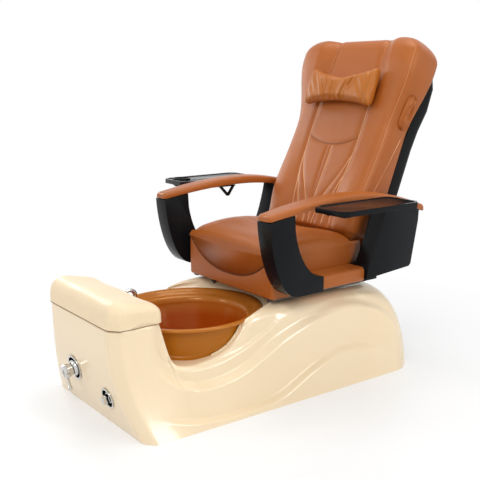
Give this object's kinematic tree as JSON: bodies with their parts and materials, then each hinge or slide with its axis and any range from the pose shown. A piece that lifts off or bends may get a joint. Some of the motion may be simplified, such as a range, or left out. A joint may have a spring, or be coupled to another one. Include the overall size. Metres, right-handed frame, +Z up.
{
  "type": "pedicure spa chair",
  "caption": "Pedicure spa chair: moulded base with a foot bowl and tap, padded footrest, sliding massage seat, reclining back, padded arms with fold-down trays",
  "frame": {"origin": "on the floor, below the middle of the chair's bounding box", "axes": "+Z up, +X to the sitter's left, -Y the way the sitter faces, towards the foot bowl"},
  "size_m": [1.208, 1.5896, 1.4161],
  "materials": {
    "cream_shell": "glossy gel coat",
    "cream_pad": "satin vinyl",
    "amber_bowl": "polished resin",
    "brown_leather": "soft satin",
    "black_plastic": "gloss",
    "chrome": "polished",
    "steel": "semi-gloss",
    "plywood": "plain",
    "rubber": "matt",
    "white_plastic": "matt"
  },
  "bodies": {
    "base": {"base_shell": "cream_shell", "base_frame": "steel", "levelling_feet": "rubber", "footrest_board": "plywood", "footrest_pad": "cream_pad", "bowl": "amber_bowl", "drain_strainer": "chrome", "drain_pipe": "white_plastic", "jet_housing": "black_plastic", "jet_cover": "chrome", "jet_motor": "steel", "spout": "chrome", "mixer_cup": "black_plastic", "mixer_body": "chrome", "diverter_cup": "black_plastic", "diverter_collar": "chrome", "supply_pipes": "steel", "control_box": "black_plastic", "slide_rail_left": "steel", "slide_rail_right": "steel"},
    "stopper": {"drain_stopper": "chrome"},
    "impeller": {"jet_impeller": "white_plastic"},
    "mixer_cap": {"mixer_cap": "chrome"},
    "mixer_lever": {"mixer_lever": "chrome"},
    "diverter_knob": {"diverter_knob": "chrome"},
    "seat": {"slide_runner_left": "chrome", "slide_runner_right": "chrome", "seat_frame": "steel", "seat_pan": "plywood", "seat_skirt": "brown_leather", "seat_cushion": "brown_leather", "arm_post_left": "black_plastic", "arm_post_right": "black_plastic", "arm_rail_left": "brown_leather", "arm_rail_right": "brown_leather", "arm_panel_left": "black_plastic", "arm_panel_right": "black_plastic", "arm_pad_left": "brown_leather", "arm_pad_right": "brown_leather", "arm_bolts": "chrome", "tray_bracket_left": "black_plastic", "tray_bracket_right": "black_plastic", "hinge_pins": "chrome", "recline_actuator": "steel"},
    "recline_rod": {"recline_rod": "chrome"},
    "tray_left": {"tray_left": "black_plastic"},
    "tray_right": {"tray_right": "black_plastic", "cup_holder": "black_plastic"},
    "back": {"back_frame": "steel", "back_shell": "black_plastic", "back_cushion": "brown_leather", "remote_pouch": "brown_leather", "massage_rods": "chrome", "massage_motor": "black_plastic"},
    "lead_screw": {"lead_screw": "chrome"},
    "carriage": {"massage_carriage": "black_plastic"},
    "rollers": {"massage_rollers": "rubber"},
    "pillow": {"head_pillow": "brown_leather"}
  },
  "joints": [
    {"name": "seat_slide", "type": "slide", "parent": "base", "child": "seat", "axis": [0, 1, 0], "range_m": [-0.05, 0.09]},
    {"name": "back_recline", "type": "hinge", "parent": "seat", "child": "back", "pos_m": [0, 0.407, 0.5], "axis": [-1, 0, 0], "range_deg": [0, 33]},
    {"name": "recline_rod_slide", "type": "slide", "parent": "seat", "child": "recline_rod", "axis": [0, 1, 0], "range_m": [-0.0345, 0]},
    {"name": "tray_left_fold", "type": "hinge", "parent": "seat", "child": "tray_left", "pos_m": [0.416, 0.154, 0.753], "axis": [0, 1, 0], "range_deg": [0, 90]},
    {"name": "tray_right_fold", "type": "hinge", "parent": "seat", "child": "tray_right", "pos_m": [-0.416, 0.154, 0.753], "axis": [0, -1, 0], "range_deg": [0, 90]},
    {"name": "mixer_turn", "type": "hinge", "parent": "base", "child": "mixer_cap", "pos_m": [-0.082, -0.77838, 0.16514], "axis": [0, -0.9798, -0.2002], "range_deg": [-45, 45]},
    {"name": "mixer_lift", "type": "hinge", "parent": "mixer_cap", "child": "mixer_lever", "pos_m": [-0.082, -0.79013, 0.16273], "axis": [-1, 0, 0], "range_deg": [0, 25]},
    {"name": "diverter_turn", "type": "hinge", "parent": "base", "child": "diverter_knob", "pos_m": [0.158, -0.74398, 0.124], "axis": [0, -0.9686, -0.2486], "range_deg": [-60, 60]},
    {"name": "stopper_lift", "type": "slide", "parent": "base", "child": "stopper", "axis": [0, 0, 1], "range_m": [0, 0.012]},
    {"name": "impeller_spin", "type": "hinge", "parent": "base", "child": "impeller", "pos_m": [0, -0.222, 0.1], "axis": [0, 0, 1], "continuous": true},
    {"name": "carriage_slide", "type": "slide", "parent": "back", "child": "carriage", "axis": [0, 0.3746, 0.9272], "range_m": [0, 0.35]},
    {"name": "screw_spin", "type": "hinge", "parent": "back", "child": "lead_screw", "pos_m": [0, 0.45491, 0.60791], "axis": [0, 0.3746, 0.9272], "continuous": true},
    {"name": "roller_spin", "type": "hinge", "parent": "carriage", "child": "rollers", "pos_m": [0, 0.5032, 0.82352], "axis": [1, 0, 0], "continuous": true},
    {"name": "pillow_slide", "type": "slide", "parent": "back", "child": "pillow", "axis": [0, 0.3746, 0.9272], "range_m": [-0.06, 0.06]}
  ],
  "couplings": [
    {"joint": "recline_rod_slide", "follows": "back_recline", "m_per_rad": -0.059174},
    {"joint": "screw_spin", "follows": "carriage_slide", "rad_per_m": 628.32}
  ]
}
